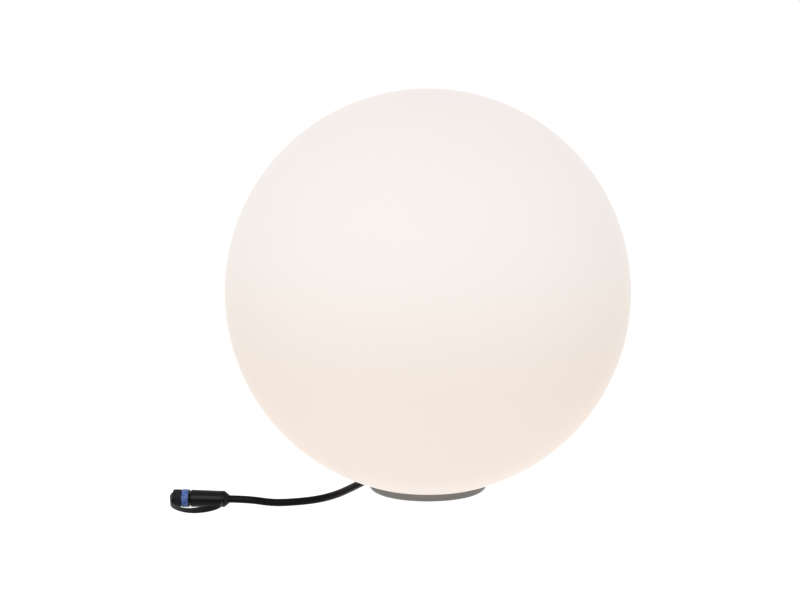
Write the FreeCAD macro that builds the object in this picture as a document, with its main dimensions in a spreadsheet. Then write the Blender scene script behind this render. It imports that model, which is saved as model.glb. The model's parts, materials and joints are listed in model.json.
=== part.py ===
"""A garden globe light: an opal globe on a low bayonet foot, with a lamp, a driver and a plugged cord.

Millimetres, +Z up. The origin is the middle of the foot where it rests on the ground, and +Y points
to the back, where the cord comes out. The plug and its cap are modelled along their own axis, +X
towards the cap, and the gland along +X too; each group is then put in its place.
"""

import FreeCAD, Part
import Sketcher
import math
import os
import re

doc = FreeCAD.newDocument("globe_light")

# The sizes that can be set, each by itself.
SIZES = {
    # globe
    "globe_radius": 200,
    "globe_wall": 3.5,
    "mouth_radius": 57.7,
    "mouth_height": 8,
    "mouth_lip": 3.2,
    "flange_thickness": 3.5,
    # foot
    "foot_tuck": 3.7,
    "bulge_lap": 0.9,
    "bulge_height": 5.8,
    "rim_height": 0.4,
    "lower_flare": 6.5,
    "upper_flare": 2.4,
    "shoulder_inset": 1,
    "skirt_wall": 3,
    "deck_top": 13,
    "deck_thickness": 2.5,
    "barrel_radius": 43.4,
    "barrel_wall": 3,
    "barrel_top": 48,
    "web_front": 9,
    "web_wall": 3,
    "low_floor": 2,
    "high_floor": 26,
    "floor_thickness": 2.5,
    # bayonet
    "lug_count": 3,
    "lug_reach": 6.4,
    "lug_height": 3,
    "lug_angle": 30,
    "turn_angle": 40,
    "stop_angle": 3,
    "notch_slack_angle": 2,
    "stop_slack_angle": 0.6,
    "stop_inset": 0.4,
    "lug_gap": 0.3,
    "slide_gap": 0.6,
    "side_gap": 0.7,
    # seals and feet
    "gasket_width": 2.8,
    "gasket_height": 2,
    "gasket_gap": 0.15,
    "seal_height": 1,
    "seal_gap": 0.1,
    "step_lap": 0.2,
    "edge_inset": 0.2,
    "pad_count": 6,
    "pad_inset": 6.8,
    "pad_radius": 3.5,
    "pad_height": 1.6,
    "pad_proud": 0.6,
    "pad_wall": 1,
    # lamp
    "spreader_thickness": 2,
    "board_thickness": 1.6,
    "led_board_gap": 0.6,
    "chip_length": 3.5,
    "chip_width": 2.8,
    "chip_height": 0.8,
    "chip_count": 12,
    "inner_chip_count": 6,
    "chip_inset": 8,
    "inner_chip_ring": 11,
    "cover_inset": 11,
    "cover_wall": 1.8,
    "cover_draft": 0.6,
    "cover_flange": 2.5,
    "cover_height": 24,
    "screw_count": 6,
    "screw_inset": 6,
    "screw_radius": 1.5,
    "screw_head": 2.9,
    "screw_head_height": 2.1,
    "screw_depth": 10,
    "screw_boss": 3.75,
    "screw_gap": 0.3,
    "screw_root": 0.5,
    "pilot_spare": 1,
    "wire_hole": 4,
    "wire_hole_place": 6,
    # driver
    "driver_length": 46,
    "driver_width": 30,
    "driver_front": 3,
    "peg_height": 4,
    "peg_radius": 2.5,
    "peg_inset": 4,
    "peg_margin": 3,
    "peg_screw": 1,
    "peg_screw_head": 2.2,
    "peg_screw_head_height": 1.5,
    "peg_screw_depth": 4,
    "terminal_length": 12,
    "terminal_width": 8,
    "terminal_height": 9,
    "terminal_inset": 15,
    "choke_radius": 5.5,
    "choke_height": 9,
    "choke_inset": 12,
    "choke_depth": 19,
    "capacitor_radius": 4,
    "capacitor_height": 12,
    "capacitor_inset": 12,
    "capacitor_gap": 1,
    "capacitor_depth": 20,
    "chip_package": 6,
    "package_height": 1.6,
    "package_inset": 15,
    "package_depth": 3,
    # cord, gland and clamp
    "cord_diameter": 7.4,
    "gland_side": 25,
    "gland_axis": 8.6,
    "gland_nose": 10,
    "gland_radius": 7.8,
    "gland_thread": 5.4,
    "gland_boss": 7.6,
    "gland_flange": 1,
    "gland_inset": 0.5,
    "gland_fingers": 6,
    "finger_wall": 0.5,
    "gland_seal_proud": 1,
    "gland_seat_gap": 0.3,
    "thread_gap": 0.1,
    "cord_gap": 0.3,
    "nose_chamfer": 1.6,
    "nose_inset": 2,
    "nose_wall": 2.2,
    "flute_count": 12,
    "flute_radius": 1.5,
    "flute_offset": 1,
    "jacket_end": 22,
    "clamp_thickness": 6,
    "clamp_span": 15,
    "clamp_place": 15,
    "clamp_margin": 3.5,
    "clamp_roof": 2,
    "post_radius": 3,
    "post_pilot": 4,
    "mouth_slot": 14,
    "slot_side": 9,
    "tool_margin": 1,
    "lead_radius": 0.9,
    "lead_spacing": 2.6,
    # plug
    "plug_axis": 8.7,
    "plug_length": 33.5,
    "plug_cone": 3.9,
    "plug_rear_radius": 7.8,
    "plug_front_radius": 8.4,
    "plug_neck": 4.8,
    "plug_neck_length": 1.2,
    "cone_lip": 0.4,
    "cone_end": 0.5,
    "plug_round": 0.8,
    "keeper_place": 1.7,
    "keeper_width": 1.2,
    "keeper_gap": 0.4,
    "collar_width": 3,
    "collar_depth": 1.5,
    "collar_gap": 0.1,
    "nut_length": 7,
    "nut_radius": 7.3,
    "nut_bore": 6.4,
    "rim_radius": 8.35,
    "rim_width": 0.8,
    "rim_round": 0.3,
    "nut_web": 1.4,
    "ring_radius": 8.6,
    "ring_round": 0.4,
    "ring_ribs": 16,
    "rib_margin": 0.9,
    "rib_offset": 0.75,
    "rib_cutter": 1.1,
    "cap_radius": 8.3,
    "cap_length": 8.6,
    "cap_ribs": 30,
    "cap_round": 0.7,
    "cap_groove_margin": 0.6,
    "groove_offset": 0.3,
    "groove_cutter": 0.6,
    "cap_wall": 1.6,
    "sleeve_length": 3.9,
    "sleeve_wall": 0.8,
    "cap_gap": 0.3,
    "button_neck": 2.4,
    "button_radius": 3.4,
    "button_length": 3,
    "button_thickness": 0.9,
    "washer_thickness": 0.5,
    "eye_radius": 5.2,
    "eye_width": 1.7,
    "eye_gap": 0.2,
    "strap_width": 4,
    "strap_thickness": 1.4,
    "strap_tilt": 13.8,
    "pin_radius": 0.9,
    "pin_spacing": 3.4,
    "pin_depth": 6,
    "pin_length": 10,
    "carrier_wall": 1.3,
    "carrier_depth": 4.4,
    "carrier_proud": 0.9,
    "nose_step": 0.5,
    "nose_lead": 0.8,
    "plug_seal_place": 4.3,
    "plug_seal_width": 1.4,
    "plug_seal_wall": 0.7,
    "fit_gap": 0.05,
}

# What follows from them.
WORKED = {
    "globe_inner": "globe_radius - globe_wall",
    "globe_centre": "mouth_height + sqrt(globe_radius^2 - mouth_radius^2)",
    "recess_radius": "mouth_radius - mouth_lip",
    "wall_radius": "mouth_radius - mouth_lip + globe_wall",
    "gasket_seat": "deck_top - gasket_height / 2",
    "flange_low": "deck_top + gasket_height / 2",
    "flange_top": "deck_top + gasket_height / 2 + flange_thickness",
    "flange_hole": "barrel_radius + slide_gap",
    "lug_low": "deck_top + gasket_height / 2 + flange_thickness + lug_gap",
    "foot_radius": "mouth_radius - foot_tuck",
    "foot_bulge": "mouth_radius + bulge_lap",
    "foot_edge": "mouth_radius - mouth_lip - side_gap / 2",
    "pad_ring": "mouth_radius - foot_tuck - pad_inset",
    "lug_radius": "barrel_radius + lug_reach",
    "notch_radius": "barrel_radius + lug_reach + side_gap",
    "deck_low": "deck_top - deck_thickness",
    "barrel_bore": "barrel_radius - barrel_wall",
    "web_back": "web_front - web_wall",
    "spreader_low": "barrel_top + seal_height",
    "lamp_base": "barrel_top + seal_height + spreader_thickness",
    "cover_base": "barrel_top + 2 * seal_height + spreader_thickness",
    "cover_edge": "barrel_radius - edge_inset",
    "cover_radius": "barrel_radius - cover_inset",
    "led_board_radius": "barrel_radius - cover_inset - cover_wall - led_board_gap",
    "chip_ring": "barrel_radius - cover_inset - cover_wall - led_board_gap - chip_inset",
    "screw_ring": "barrel_radius - screw_inset",
    "cover_top": "barrel_top + 2 * seal_height + spreader_thickness + cover_height",
    "driver_low": "high_floor + peg_height",
    "driver_top": "high_floor + peg_height + board_thickness",
    "cord_radius": "cord_diameter / 2",
    "terminal_side": "driver_length / 2 - terminal_inset",
    "post_side": "clamp_span / 2",
    "plug_rear": "plug_cone + cone_end",
    "plug_front": "plug_cone + plug_length",
    "nut_rear": "plug_cone + plug_length + plug_neck_length",
    "nut_front": "plug_cone + plug_length + plug_neck_length + nut_length",
    "cap_rear": "plug_cone + plug_length + plug_neck_length + nut_length + 2 * cap_gap",
    "cap_front": "plug_cone + plug_length + plug_neck_length + nut_length + 2 * cap_gap + cap_length",
    "keeper_front": "plug_cone + plug_length + plug_neck_length + keeper_place + keeper_width",
    "carrier_radius": "plug_neck - carrier_wall",
    "nose_radius": "plug_neck - nose_step",
    "carrier_front": "plug_cone + plug_length + plug_neck_length + nut_length + carrier_proud",
    "collar_radius": "plug_rear_radius + collar_gap",
    "collar_middle": "plug_cone + cone_end + collar_gap + collar_width / 2",
    "eye_middle": "plug_cone + plug_length + plug_neck_length + nut_length + 2 * cap_gap + cap_length + eye_gap + eye_width / 2",
    "sleeve_radius": "nut_bore - cap_gap",
    "sleeve_bore": "nut_bore - cap_gap - sleeve_wall",
}

# Where the plug's cable end lies on the ground, and the way its axis points: turned in plan.
PLUG_PLACE = (-192.8, -77.5)
PLUG_TURN = 175.4

# The cord's route, chosen by hand: out of the gland, down to the ground and out of the foot, round
# behind it, forward past its side and along the ground into the plug.
CORD_ROUTE = [
    ("gland_side", "gland_nose", "gland_axis"),
    ("gland_side", 24, "gland_axis"),
    ("gland_side", 39, "cord_radius"),
    (21.2, 57.6, "cord_radius"),
    (10.5, 70.8, "cord_radius"),
    (-4.8, 78.2, "cord_radius"),
    (-21.8, 78.2, "cord_radius"),
    (-37.1, 70.8, "cord_radius"),
    (-47.7, 57.5, "cord_radius"),
    (-56.4, 35, "cord_radius"),
    (-66.8, 10.5, "cord_radius"),
    (-77.2, -13, "cord_radius"),
    (-89.2, -37.6, "cord_radius"),
    (-107, -59, "cord_radius"),
    (-131, -70, "cord_radius"),
    (-152, -72.8, "cord_radius"),
    (-172.9, -79.1, "plug_axis"),
    (-192.8, -77.5, "plug_axis"),
]
# The strap's route in its own plane: along the plug, and out from its axis.
STRAP_ROUTE = [
    ("collar_middle", "collar_radius + fit_gap"),
    ("collar_middle + 0.4", 14),
    (12.5, 20.6),
    (22, 25.4),
    (33, 27.3),
    (44.5, 24),
    (52.8, 17.4),
    ("eye_middle + 0.15", 11.2),
    ("eye_middle", "eye_radius + fit_gap"),
]
# Each lead's route: from the jacket's end up to the terminals, and from the driver to the lamp.
SUPPLY_LEAD = [
    ("gland_side", "-jacket_end", "gland_axis"),
    ("gland_side", "-jacket_end - 5.5", "gland_axis"),
    ("gland_side", "-jacket_end - 7", "driver_low - 10"),
    ("terminal_side + 12", "-driver_front - 20", "driver_low + 1"),
    ("terminal_side", "-driver_front - 10", "driver_top + 4.5"),
    ("terminal_side", "-driver_front", "driver_top + 4.5"),
]
LAMP_LEAD = [
    (-14, 4, "driver_top"),
    (-14, 4, "driver_top + 6.4"),
    (-10, 0, "barrel_top - 6"),
    ("-wire_hole_place", "-wire_hole_place", "barrel_top - 3"),
    ("-wire_hole_place", "-wire_hole_place", "lamp_base"),
]
ARC_SHARE = 0.45  # of the shorter run beside a corner, which its arc takes


def fill_sheet(name, rows):
    sheet = doc.addObject("Spreadsheet::Sheet", name)
    for line, (alias, content) in enumerate(rows.items(), start=1):
        sheet.set(f"A{line}", alias)
        sheet.set(f"B{line}", content)
        sheet.setAlias(f"B{line}", alias)
    return sheet


def full(text):
    """The expression with each size's name led by its sheet's."""

    def lead(match):
        word = match.group(0)
        if word in SIZES:
            return "dims." + word
        return "worked." + word if word in WORKED else word

    return re.sub(r"[a-z_]+", lead, str(text))


fill_sheet("dims", {name: str(number) for name, number in SIZES.items()})
doc.recompute()
worked = fill_sheet("worked", {name: "=" + full(text) for name, text in WORKED.items()})
doc.recompute()


def value(text):
    found = worked.evalExpression(full(text))
    return float(getattr(found, "Value", found))


def bind(thing, **expressions):
    for prop, text in expressions.items():
        thing.setExpression(prop.replace("__", "."), full(text))


# ---- sketches and the features made from them ----


def new_body(label):
    body = doc.addObject("PartDesign::Body", label)
    body.Label = label
    return body


def origin_feature(body, role):
    return next(f for f in body.Origin.OriginFeatures if f.Role == role)


def new_sketch(body, plane, name, height=0):
    sketch = body.newObject("Sketcher::SketchObject", name)
    sketch.AttachmentSupport = [(origin_feature(body, plane + "_Plane"), "")]
    sketch.MapMode = "FlatFace"
    sketch.setExpression("AttachmentOffset.Base.z", full(height))
    return sketch


def fix(sketch, kind, geometry, point, name, text):
    row = sketch.addConstraint(Sketcher.Constraint(kind, -1, 1, geometry, point, value(text)))
    sketch.renameConstraint(row, name)
    sketch.setExpression("Constraints." + name, full(text))


def fix_radius(sketch, geometry, name, text):
    row = sketch.addConstraint(Sketcher.Constraint("Radius", geometry, value(text)))
    sketch.renameConstraint(row, name)
    sketch.setExpression("Constraints." + name, full(text))


def outline(sketch, corners):
    """A closed outline through the corners (x, y). A third entry makes the side that follows an arc
    of that radius, anticlockwise, or clockwise where a fourth entry says so."""
    spots = [FreeCAD.Vector(value(c[0]), value(c[1]), 0) for c in corners]
    ends = []
    for i, corner in enumerate(corners):
        start, end = spots[i], spots[(i + 1) % len(spots)]
        if len(corner) == 2:
            side = sketch.addGeometry(Part.LineSegment(start, end))
            ends.append((side, 1, 2))
            continue
        radius = value(corner[2])
        clockwise = len(corner) == 4
        chord = end - start
        half = chord.Length / 2
        across = FreeCAD.Vector(-chord.y, chord.x, 0).normalize()
        if clockwise:
            across = across.negative()
        middle = (start + end) * 0.5 + across * math.sqrt(max(radius**2 - half**2, 0))
        first, last = (end, start) if clockwise else (start, end)
        angles = [math.atan2(p.y - middle.y, p.x - middle.x) for p in (first, last)]
        circle = Part.Circle(middle, FreeCAD.Vector(0, 0, 1), radius)
        side = sketch.addGeometry(Part.ArcOfCircle(circle, angles[0], angles[1]))
        ends.append((side, 2, 1) if clockwise else (side, 1, 2))
    for i, (side, _, finish) in enumerate(ends):
        following, begin, _ = ends[(i + 1) % len(ends)]
        sketch.addConstraint(Sketcher.Constraint("Coincident", side, finish, following, begin))
    for i, corner in enumerate(corners):
        side, begin, _ = ends[i]
        fix(sketch, "DistanceX", side, begin, f"x{i}", corner[0])
        fix(sketch, "DistanceY", side, begin, f"y{i}", corner[1])
        if len(corner) > 2:
            fix_radius(sketch, side, f"radius{i}", corner[2])
    return sketch


def circles(sketch, places, radius):
    for i, (x, y) in enumerate(places):
        centre = FreeCAD.Vector(value(x), value(y), 0)
        ring = sketch.addGeometry(Part.Circle(centre, FreeCAD.Vector(0, 0, 1), value(radius)))
        fix(sketch, "DistanceX", ring, 3, f"x{i}", x)
        fix(sketch, "DistanceY", ring, 3, f"y{i}", y)
        fix_radius(sketch, ring, f"radius{i}", radius)
    return sketch


def polar(radius, angle):
    return f"({radius}) * cos({angle})", f"({radius}) * sin({angle})"


def sector(inner, outer, start, end):
    """The outline of a piece of a ring between two angles."""
    return [
        polar(inner, start),
        (*polar(outer, start), outer),
        polar(outer, end),
        (*polar(inner, end), inner, "clockwise"),
    ]


def circle_cap(radius, edge, front):
    """A circle cut along a line at y = -edge: its front part, or its back part."""
    reach = f"sqrt(({radius})^2 - ({edge})^2)"
    if front:
        return [(f"-{reach}", f"-({edge})", radius), (reach, f"-({edge})")]
    return [
        (reach, f"-({edge})", radius),
        ("0", radius, radius),
        (f"-{reach}", f"-({edge})"),
    ]


def rectangle(low_x, high_x, low_y, high_y):
    return [(low_x, low_y), (high_x, low_y), (high_x, high_y), (low_x, high_y)]


def feature(body, kind, sketch, name):
    made = body.newObject("PartDesign::" + kind, name)
    made.Profile = sketch
    sketch.Visibility = False
    return made


def revolved(body, corners, name="turned", axis="V_Axis"):
    sketch = outline(new_sketch(body, "XZ", name + "_profile"), corners)
    made = feature(body, "Revolution", sketch, name)
    made.ReferenceAxis = (sketch, [axis])
    made.Angle = 360
    return made


def padded(body, sketch, length, name, back=False):
    made = feature(body, "Pad", sketch, name)
    made.setExpression("Length", full(length))
    made.Reversed = back
    return made


def cut_in(body, sketch, depth, name, back=False):
    """A pocket, down from its sketch or, where back is set, up."""
    doc.recompute()
    before = body.Shape.Volume
    made = feature(body, "Pocket", sketch, name)
    made.setExpression("Length", full(depth))
    made.Reversed = back
    doc.recompute()
    if not body.Shape.Volume < before - 0.01:
        raise ValueError(f"{body.Label}: {name} cuts nothing")
    return made


def around(body, features, count, name, axis="Z_Axis"):
    doc.recompute()
    pattern = body.newObject("PartDesign::PolarPattern", name)
    pattern.Originals = features
    pattern.Axis = (origin_feature(body, axis), [""])
    pattern.Angle = 360
    pattern.setExpression("Occurrences", full(count))
    body.Tip = pattern
    doc.recompute()
    return pattern


# ---- plain primitives ----


def place(thing, x=0, y=0, z=0, turn=None, axis=(0, 0, 1)):
    if turn is not None:
        thing.Placement = FreeCAD.Placement(
            FreeCAD.Vector(), FreeCAD.Rotation(FreeCAD.Vector(*axis), value(turn))
        )
    bind(thing, Placement__Base__x=x, Placement__Base__y=y, Placement__Base__z=z)
    return thing


def rod(name, radius, height, x=0, y=0, z=0, turn=None, axis=(0, 1, 0)):
    thing = doc.addObject("Part::Cylinder", name)
    bind(thing, Radius=radius, Height=height)
    return place(thing, x, y, z, turn, axis)


def block(name, length, width, height, x, y, z, turn=None):
    thing = doc.addObject("Part::Box", name)
    bind(thing, Length=length, Width=width, Height=height)
    return place(thing, x, y, z, turn)


def cut(name, base, tools):
    for i, tool in enumerate(tools):
        made = doc.addObject("Part::Cut", f"{name}_{i}")
        made.Base, made.Tool = base, tool
        base = made
    return base


def joined(name, pieces):
    made = doc.addObject("Part::MultiFuse", name)
    made.Shapes = pieces
    return made


def grouped(label, pieces):
    made = doc.addObject("Part::Compound", label)
    made.Links = pieces
    made.Label = label
    return made


def screw(name, radius, head, head_height, depth, x, y, top):
    """A pan head screw whose head stands on the height top."""
    return joined(
        name,
        [
            rod(name + "_shank", radius, f"{depth} + screw_root", x, y, f"{top} - ({depth})"),
            rod(name + "_head", head, head_height, x, y, top),
        ],
    )


def at_plug(thing, tilt=0):
    lean = FreeCAD.Rotation(FreeCAD.Vector(1, 0, 0), tilt)
    turn = FreeCAD.Rotation(FreeCAD.Vector(0, 0, 1), PLUG_TURN)
    base = FreeCAD.Vector(*PLUG_PLACE, value("plug_axis"))
    thing.Placement = FreeCAD.Placement(base, turn * lean)
    thing.setExpression("Placement.Base.z", full("plug_axis"))
    return thing


def at_gland(thing):
    turn = FreeCAD.Rotation(FreeCAD.Vector(0, 0, 1), 90)
    thing.Placement = FreeCAD.Placement(FreeCAD.Vector(), turn)
    bind(thing, Placement__Base__x="gland_side", Placement__Base__z="gland_axis")
    return thing


# ---- tubes and straps along a route ----


def rounded_wire(points):
    """Straight runs joined by arcs, each as large as its two runs allow, and the arcs' radii."""
    spots = [FreeCAD.Vector(*p) for p in points]
    edges, radii, start = [], [], spots[0]
    for before, corner, after in zip(spots, spots[1:], spots[2:]):
        back = (before - corner).normalize()
        ahead = (after - corner).normalize()
        reach = ARC_SHARE * min((before - corner).Length, (after - corner).Length)
        half_turn = (math.pi - back.getAngle(ahead)) / 2
        radius = reach / math.tan(half_turn)
        entry, leave = corner + back * reach, corner + ahead * reach
        inward = (back + ahead).normalize()
        middle = corner + inward * (radius / math.cos(half_turn) - radius)
        edges.append(Part.LineSegment(start, entry).toShape())
        edges.append(Part.Arc(entry, middle, leave).toShape())
        radii.append(radius)
        start = leave
    edges.append(Part.LineSegment(start, spots[-1]).toShape())
    return Part.Wire(edges), radii


def tube(label, points, radius):
    wire, radii = rounded_wire(points)
    start = wire.Edges[0]
    ring = Part.Circle(start.valueAt(start.FirstParameter), start.tangentAt(start.FirstParameter), radius)
    solid = wire.makePipeShell([Part.Wire([ring.toShape()])], True, False)
    expected = math.pi * radius**2 * wire.Length
    if abs(solid.Volume - expected) > 0.01 * expected:
        raise ValueError(f"{label}: volume {solid.Volume:.0f}, expected {expected:.0f}")
    print(f"{label}: length {wire.Length:.1f}, radii", [round(r, 1) for r in radii])
    return solid


def part_feature(label, shape):
    thing = doc.addObject("Part::Feature", label)
    thing.Label = label
    thing.Shape = shape
    return thing


# ---- globe ----


def globe_shell():
    body = new_body("globe_shell")
    lip_low = "mouth_height"
    inside = "globe_centre - sqrt(globe_inner^2 - wall_radius^2)"
    revolved(
        body,
        [
            ("0", "globe_centre + globe_inner"),
            ("0", "globe_centre + globe_radius", "globe_radius", "clockwise"),
            ("mouth_radius", lip_low),
            ("recess_radius", lip_low),
            ("recess_radius", "flange_low"),
            ("flange_hole", "flange_low"),
            ("flange_hole", "flange_top"),
            ("wall_radius", "flange_top"),
            ("wall_radius", inside, "globe_inner"),
        ],
        "shell",
    )
    half = "lug_angle / 2"
    notch = new_sketch(body, "XY", "notch_outline", "flange_top")
    outline(
        notch,
        sector(
            "flange_hole - side_gap",
            "notch_radius",
            f"-turn_angle - {half} - notch_slack_angle",
            f"-turn_angle + {half} + notch_slack_angle",
        ),
    )
    notch_cut = cut_in(body, notch, "flange_thickness + lug_gap", "notch")
    around(body, [notch_cut], "lug_count", "notches")
    stops = []
    for name, start in (
        ("rest_stop", f"{half} + stop_slack_angle"),
        ("free_stop", f"-turn_angle - {half} - notch_slack_angle - stop_slack_angle - stop_angle"),
    ):
        sketch = new_sketch(body, "XY", name + "_outline", "flange_top")
        outline(sketch, sector("flange_hole + stop_inset", "notch_radius", start, f"{start} + stop_angle"))
        stops.append(padded(body, sketch, "lug_height", name))
    around(body, stops, "lug_count", "stops")


# ---- foot ----


def foot_housing():
    body = new_body("foot_housing")
    shoulder = "mouth_height - lug_gap"
    inner = "foot_radius - skirt_wall"
    groove = "foot_edge - gasket_width - 2 * gasket_gap"
    revolved(
        body,
        [
            (inner, "rim_height"),
            ("foot_radius", "rim_height", "lower_flare"),
            ("foot_bulge", "bulge_height", "upper_flare"),
            ("foot_bulge - shoulder_inset", shoulder),
            ("foot_edge", shoulder),
            ("foot_edge", "gasket_seat"),
            (groove, "gasket_seat"),
            (groove, "deck_top"),
            ("barrel_radius", "deck_top"),
            ("barrel_radius", "barrel_top"),
            ("barrel_bore", "barrel_top"),
            ("barrel_bore", "deck_low"),
            (inner, "deck_low"),
        ],
        "skirt_and_barrel",
    )
    dry = outline(
        new_sketch(body, "XY", "dry_room_outline", "low_floor"),
        circle_cap("barrel_radius", "web_back", True),
    )
    padded(body, dry, "deck_low - low_floor + deck_thickness / 2", "dry_room")
    room = outline(
        new_sketch(body, "XY", "room_outline", "low_floor + floor_thickness"),
        circle_cap("barrel_bore", "web_front", True),
    )
    cut_in(body, room, "deck_top - low_floor", "room", back=True)
    half_web = "sqrt((barrel_radius - barrel_wall / 4)^2 - web_front^2)"
    web = outline(
        new_sketch(body, "XY", "web_outline", "low_floor"),
        rectangle(f"-{half_web}", half_web, "-web_front", "-web_back"),
    )
    padded(body, web, "high_floor - low_floor", "web")
    high = outline(
        new_sketch(body, "XY", "high_floor_outline", "high_floor - floor_thickness"),
        circle_cap("barrel_bore + barrel_wall / 2", "web_front", False),
    )
    padded(body, high, "floor_thickness", "high_floor_plate")
    lugs_of_foot(body)
    screw_bosses(body)
    pad_bosses(body)
    gland_seat(body)
    pegs_and_posts(body)


def lugs_of_foot(body):
    sketch = new_sketch(body, "XY", "lug_outline", "lug_low")
    outline(
        sketch,
        sector("barrel_radius - barrel_wall / 2", "lug_radius", "-lug_angle / 2", "lug_angle / 2"),
    )
    around(body, [padded(body, sketch, "lug_height", "lug")], "lug_count", "lugs")


def screw_bosses(body):
    low = "high_floor - floor_thickness / 2"
    spot = [("screw_ring", "0")]
    boss = circles(new_sketch(body, "XY", "boss_outline", low), spot, "screw_boss")
    solid = padded(body, boss, f"barrel_top - ({low})", "boss")
    around(body, [solid], "screw_count", "bosses")
    pilot = circles(new_sketch(body, "XY", "pilot_outline", "barrel_top"), spot, "screw_radius + fit_gap")
    hole = cut_in(body, pilot, "screw_depth", "pilot")
    around(body, [hole], "screw_count", "pilots")


def pad_bosses(body):
    spot = [polar("pad_ring", "180 / pad_count")]
    low = "pad_proud"
    boss = circles(new_sketch(body, "XY", "pad_boss_outline", low), spot, "pad_radius + pad_wall")
    solid = padded(body, boss, f"deck_low + deck_thickness / 2 - {low}", "pad_boss")
    around(body, [solid], "pad_count", "pad_bosses")
    seat = circles(new_sketch(body, "XY", "pad_seat_outline", low), spot, "pad_radius + fit_gap")
    hole = cut_in(body, seat, "pad_height - pad_proud", "pad_seat", back=True)
    around(body, [hole], "pad_count", "pad_seats")


def gland_seat(body):
    """The boss that the gland screws into, its bore, and the slot that lets the cord out."""
    spot = [("gland_side", "gland_axis")]
    boss = circles(new_sketch(body, "XZ", "gland_boss_outline", "web_front"), spot, "gland_boss")
    padded(body, boss, "web_front - gland_flange", "gland_boss", back=True)
    front = "web_front + tool_margin"
    bore = circles(new_sketch(body, "XZ", "gland_bore_outline", front), spot, "gland_thread + thread_gap")
    cut_in(body, bore, front, "gland_bore")
    low = "gland_side - slot_side"
    slot = outline(
        new_sketch(body, "XY", "slot_outline"),
        rectangle(low, f"{low} + mouth_slot", "foot_radius / 2", "foot_bulge + tool_margin"),
    )
    cut_in(body, slot, "deck_low", "slot", back=True)


def peg_places():
    x = "(driver_length / 2 - peg_inset)"
    low = "(peg_margin - driver_front)"
    high = "(driver_width - driver_front - peg_margin)"
    return [(f"-{x}", low), (x, low), (f"-{x}", high), (x, high)]


def post_places():
    return [("gland_side - post_side", "-clamp_place"), ("gland_side + post_side", "-clamp_place")]


def pegs_and_posts(body):
    """The four pegs under the driver board and the two posts under the cord clamp."""
    low = "high_floor - floor_thickness / 2"
    pegs = circles(new_sketch(body, "XY", "peg_outline", low), peg_places(), "peg_radius")
    padded(body, pegs, f"driver_low - ({low})", "pegs")
    holes = circles(
        new_sketch(body, "XY", "peg_pilot_outline", "driver_low"), peg_places(), "peg_screw + fit_gap"
    )
    cut_in(body, holes, "peg_height", "peg_pilots")
    floor = "low_floor + floor_thickness / 2"
    posts = circles(new_sketch(body, "XY", "post_outline", floor), post_places(), "post_radius")
    padded(body, posts, f"gland_axis - ({floor})", "posts")
    holes = circles(
        new_sketch(body, "XY", "post_pilot_outline", "gland_axis"), post_places(), "screw_radius + fit_gap"
    )
    cut_in(body, holes, "post_pilot", "post_pilots")


def foot_pads():
    pads = []
    for i in range(SIZES["pad_count"]):
        x, y = polar("pad_ring", f"({i} + 0.5) * 360 / pad_count")
        pads.append(rod(f"pad_{i}", "pad_radius", "pad_height", x, y))
    grouped("foot_pads", pads)


def ring(label, inner, outer, low, high):
    """A flat ring, such as a gasket."""
    body = new_body(label)
    revolved(body, [(inner, low), (outer, low), (outer, high), (inner, high)], label + "_ring")
    return body


def gaskets():
    outer = "foot_edge - gasket_gap"
    ring("globe_gasket", f"{outer} - gasket_width", outer, "gasket_seat", "flange_low")
    outer = "cover_edge - seal_gap"
    ring("barrel_seal", "barrel_bore + step_lap + seal_gap", outer, "barrel_top", "spreader_low")
    seal = ring("cover_seal", "cover_radius - seal_gap", outer, "lamp_base", "cover_base")
    screw_holes(seal, "cover_base", "seal_height")


# ---- lamp ----


def screw_holes(body, top, depth):
    spot = [("screw_ring", "0")]
    sketch = circles(new_sketch(body, "XY", "screw_hole", top), spot, "screw_radius + screw_gap")
    around(body, [cut_in(body, sketch, depth, "screw_bore")], "screw_count", "screw_bores")


def heat_spreader():
    body = new_body("heat_spreader")
    step = "barrel_bore + step_lap"
    revolved(
        body,
        [
            ("0", "barrel_top"),
            (step, "barrel_top"),
            (step, "spreader_low"),
            ("cover_edge", "spreader_low"),
            ("cover_edge", "lamp_base"),
            ("0", "lamp_base"),
        ],
        "plate",
    )
    screw_holes(body, "lamp_base", "spreader_thickness + seal_height")
    hole = circles(
        new_sketch(body, "XY", "wire_hole_outline", "lamp_base"),
        [("-wire_hole_place", "-wire_hole_place")],
        "wire_hole",
    )
    cut_in(body, hole, "spreader_thickness + seal_height", "wire_hole_cut")


def led_board():
    rod("led_board", "led_board_radius", "board_thickness", 0, 0, "lamp_base").Label = "led_board"


def led_chips():
    chips = []
    for ring_radius, count in (("chip_ring", "chip_count"), ("inner_chip_ring", "inner_chip_count")):
        for i in range(SIZES[count]):
            angle = i * 360 / SIZES[count]
            x = f"{ring_radius} * cos({angle}) - chip_length / 2 * cos({angle}) + chip_width / 2 * sin({angle})"
            y = f"{ring_radius} * sin({angle}) - chip_length / 2 * sin({angle}) - chip_width / 2 * cos({angle})"
            chips.append(
                block(
                    f"chip_{ring_radius}_{i}",
                    "chip_length",
                    "chip_width",
                    "chip_height",
                    x,
                    y,
                    "lamp_base + board_thickness",
                    angle,
                )
            )
    grouped("led_chips", chips)


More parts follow.
